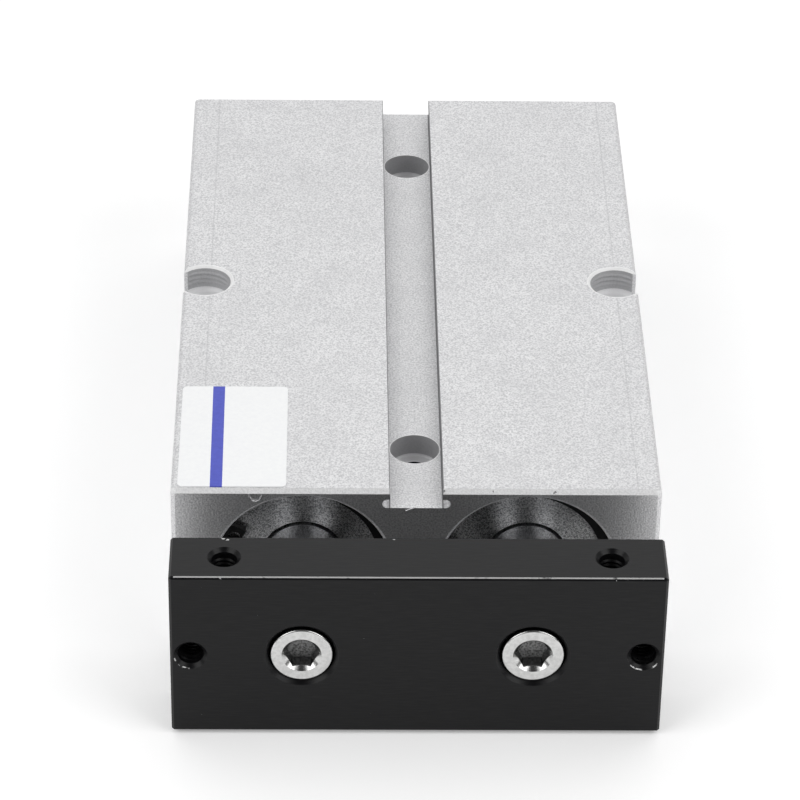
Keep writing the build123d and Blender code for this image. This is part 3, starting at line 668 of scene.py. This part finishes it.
def addPocketCorners(p=pocketDetail):
    corners = []
    for y in pocketPlaces:
        for z, inward in ((bodyHigh[2] - slotDepth, -1), (bodyLow[2] + slotDepth, 1)):
            corners.append(cornerRing((0, y, z), (0, 0, inward), pocketRadius, p["depth"],
                                      p["cornerRadius"]))
    sweptPiece("pocket_corners", corners, "anodised_body", "cylinder")


# Tapped holes of the end plate

plateThread = {"pitch": 0.8, "height": 0.2, "start": 1.5, "end": 9.0}          # M5 coarse


def addPlateThreads(p=plateThread):
    sweeps = []
    for name, mouthZ, inward in (("plate_top_thread_left", plateHigh[2], -1),
                                 ("plate_top_thread_right", plateHigh[2], -1),
                                 ("plate_bottom_thread_left", plateLow[2], 1),
                                 ("plate_bottom_thread_right", plateLow[2], 1)):
        place, dims = mountOf(name)
        mouth = (place[0], place[1], mouthZ)
        sweeps += threadRidge(mouth, (0, 0, inward), dims["r_mm"], p["start"], p["end"], p["pitch"],
                              p["height"])
    place, dims = mountOf("plate_front_threads")
    for hand in (-1, 1):
        mouth = (hand * dims["spacing_x_mm"] / 2, plateLow[1], place[2])
        sweeps += threadRidge(mouth, (0, 1, 0), dims["hole_r_mm"], p["start"],
                              plateHigh[1] - plateLow[1] - p["start"], p["pitch"], p["height"])
    sweptPiece("plate_threads", sweeps, "black_plate", "carriage")


# Burrs that the saw left on the body's front end

sawBurrs = {
    # each burr: its path's points, and its thickness at its root; it thins towards its tip
    "slotSliver": {"path": [(-0.1, -52.45, 28.62), (-0.7, -52.62, 28.5), (-1.3, -52.68, 28.3),
                            (-1.8, -52.66, 28.08)], "root": 0.34},
    "chipLoop": {"path": [(-27.2, -52.45, 31.35), (-27.15, -52.62, 30.7), (-26.8, -52.68, 30.1),
                          (-26.2, -52.7, 29.85), (-25.6, -52.68, 30.1), (-25.25, -52.62, 30.7),
                          (-25.1, -52.45, 31.35)], "root": 0.3},
}


def addBurrs(p=sawBurrs, finePoints=28, sides=6, thinning=0.67):
    # a line through the points, and round it a circle whose radius falls by the share thinning
    # from root to tip
    turn = np.linspace(0, 2 * pi, sides, endpoint=False)
    sweeps = []
    for burr in p.values():
        points = np.array(burr["path"], float)
        given = np.linspace(0, 1, len(points))
        fine = np.linspace(0, 1, finePoints)
        line = np.stack([np.interp(fine, given, points[:, axis]) for axis in range(3)], axis=1)
        radius = burr["root"] / 2 * (1 - thinning * fine)
        forward = np.gradient(line, axis=0)
        forward /= np.linalg.norm(forward, axis=1, keepdims=True)
        sideways = np.cross(forward, (0.0, 1.0, 0.0))
        sideways /= np.linalg.norm(sideways, axis=1, keepdims=True)
        upward = np.cross(forward, sideways)
        circle = np.cos(turn)[None, :, None] * sideways[:, None, :]
        circle = circle + np.sin(turn)[None, :, None] * upward[:, None, :]
        sweeps.append(line[:, None, :] + radius[:, None, None] * circle)
    sweptPiece("saw_burrs", sweeps, "anodised_body", "cylinder")


addPortDetail()
addPocketCorners()
addPlateThreads()
addBurrs()
print("threads, corners and burrs made")


# Studio

skyLight = {
    # strengths, and shares of them; places are parts of the direction (x, y, z) of length 1
    "rear": 1.14, "front": 0.4, "frontEnd": -0.3, "rearStart": 0.5,
    "sideShare": 0.55, "sideStart": 0.5, "sideEnd": 0.85, "lowShare": 0.55, "lowEnd": 0.5,
    "gapLevel": 0.03, "gapHalfWidth": 0.28, "gapSoftness": 0.04, "gapRear": (-0.02, -0.14),
    "gapLow": (0.35, 0.45), "gapHigh": (0.94, 0.9),
}


def setSky(p=skyLight):
    # a white backdrop that rises behind the object, dimmer to the sides, near the horizon and on
    # the camera's side, where a dark gap between the lamps stands over the camera. The camera
    # itself sees plain white
    world = bpy.data.worlds.new("studio tent")
    bpy.context.scene.world = world
    world.use_nodes = True
    tree = world.node_tree
    tree.nodes.clear()
    direction = addNode(tree, "TexCoord").outputs["Generated"]
    axes = addNode(tree, "SeparateXYZ", None, {0: direction}).outputs
    aside = addNode(tree, "Math", {"operation": "ABSOLUTE"}, {0: axes["X"]})
    level = addNode(tree, "MapRange", {1: p["frontEnd"], 2: p["rearStart"], 3: p["front"], 4: p["rear"]},
                    {0: axes["Y"]})
    sides = addNode(tree, "MapRange", {1: p["sideStart"], 2: p["sideEnd"], 3: 1.0, 4: p["sideShare"]},
                    {0: aside})
    level = addNode(tree, "Math", {"operation": "MULTIPLY"}, {0: level, 1: sides})
    low = addNode(tree, "MapRange", {1: 0.0, 2: p["lowEnd"], 3: p["lowShare"], 4: 1.0}, {0: axes["Z"]})
    level = addNode(tree, "Math", {"operation": "MULTIPLY"}, {0: level, 1: low})
    gap = addNode(tree, "MapRange", {1: p["gapHalfWidth"] - p["gapSoftness"],
                                     2: p["gapHalfWidth"] + p["gapSoftness"], 3: 1.0, 4: 0.0}, {0: aside})
    for axis, (start, end) in (("Y", p["gapRear"]), ("Z", p["gapLow"]), ("Z", p["gapHigh"])):
        within = addNode(tree, "MapRange", {1: start, 2: end}, {0: axes[axis]})
        gap = addNode(tree, "Math", {"operation": "MULTIPLY"}, {0: gap, 1: within})
    level = addNode(tree, "Mix", {3: p["gapLevel"]}, {0: gap, 2: level})
    seen = addNode(tree, "LightPath").outputs["Is Camera Ray"]
    strength = addNode(tree, "Mix", {3: 1.0}, {0: seen, 2: level})
    sky = addNode(tree, "Background", {"Color": "#FFFFFF"}, {"Strength": strength})
    addNode(tree, "OutputWorld", None, {"Surface": sky})


whiteCard = {"size": 6.0, "tone": "#F4F4F4", "roughness": 0.9, "lift": 0.24}        # size in metres


def addFloor(p=whiteCard):
    # painted white card: matt, with a small lift that only the camera and mirrors see, so that it
    # reads as white and keeps the object's shadow
    half = p["size"] / 2
    mesh = bpy.data.meshes.new("floor")
    corners = [(-half, -half, 0), (half, -half, 0), (half, half, 0), (-half, half, 0)]
    mesh.from_pydata(corners, [], [(0, 1, 2, 3)])
    floor = bpy.data.objects.new("floor", mesh)
    bpy.context.scene.collection.objects.link(floor)
    material, tree = startMaterial("matt white card")[:2]
    path = addNode(tree, "LightPath").outputs
    seen = path["Is Camera Ray"]
    for ray in ("Is Glossy Ray", "Is Transmission Ray"):
        seen = addNode(tree, "Math", {"operation": "MAXIMUM"}, {0: seen, 1: path[ray]})
    lift = addNode(tree, "Math", {"operation": "MULTIPLY", 1: p["lift"]}, {0: seen})
    closeMaterial(tree, {"Base Color": p["tone"], "Roughness": p["roughness"], "Specular IOR Level": 0.0,
                         "Emission Color": "#FFFFFF"}, {"Emission Strength": lift})
    mesh.materials.append(material)


softboxes = {
    "width": 0.7, "height": 0.85, "power": 3.8, "place": (0.72, -0.42, 0.62), "target": (0, 0, 0.02),
}


def addSoftboxes(p=softboxes):
    # one soft lamp on each side of the camera, above it; sizes and places in metres
    target = Vector(p["target"])
    for name, hand in (("softboxLeft", -1), ("softboxRight", 1)):
        light = bpy.data.lights.new(name, "AREA")
        light.shape = "RECTANGLE"
        light.size = p["width"]
        light.size_y = p["height"]
        light.energy = p["power"]
        lamp = bpy.data.objects.new(name, light)
        bpy.context.scene.collection.objects.link(lamp)
        spot = Vector((hand * p["place"][0], p["place"][1], p["place"][2]))
        aim = (target - spot).to_track_quat("-Z", "Y").to_matrix().to_4x4()
        lamp.matrix_world = Matrix.Translation(spot) @ aim
        lamp.visible_camera = False


cameraView = {
    # the photograph's view: lens and film in millimetres, angles in degrees. What lies nearer or
    # farther than these metres isn't drawn
    "place": (-14.34, -555.04, 391.90), "pitch": 34.236, "yaw": 1.297, "roll": 0.985,
    "lens": 171.32, "film": 36.0, "nearest": 0.01, "farthest": 20,
}


def addCamera(p=cameraView):
    pitch, yaw, roll = (radians(p[angle]) for angle in ("pitch", "yaw", "roll"))
    forward = Vector((sin(yaw) * cos(pitch), cos(yaw) * cos(pitch), -sin(pitch)))
    level = Vector((cos(yaw), -sin(yaw), 0))
    upright = level.cross(forward)
    right = cos(roll) * level + sin(roll) * upright
    upward = cos(roll) * upright - sin(roll) * level
    lens = bpy.data.cameras.new("camera")
    lens.lens = p["lens"]
    lens.sensor_width = p["film"]
    lens.clip_start = p["nearest"]
    lens.clip_end = p["farthest"]
    camera = bpy.data.objects.new("camera", lens)
    bpy.context.scene.collection.objects.link(camera)
    turn = Matrix((right, upward, -forward)).transposed().to_4x4()
    camera.matrix_world = Matrix.Translation(Vector(p["place"]) * mm) @ turn
    bpy.context.scene.camera = camera


setSky()
addFloor()
addSoftboxes()
addCamera()
bpy.context.scene.view_settings.view_transform = "Standard"
print("studio set")
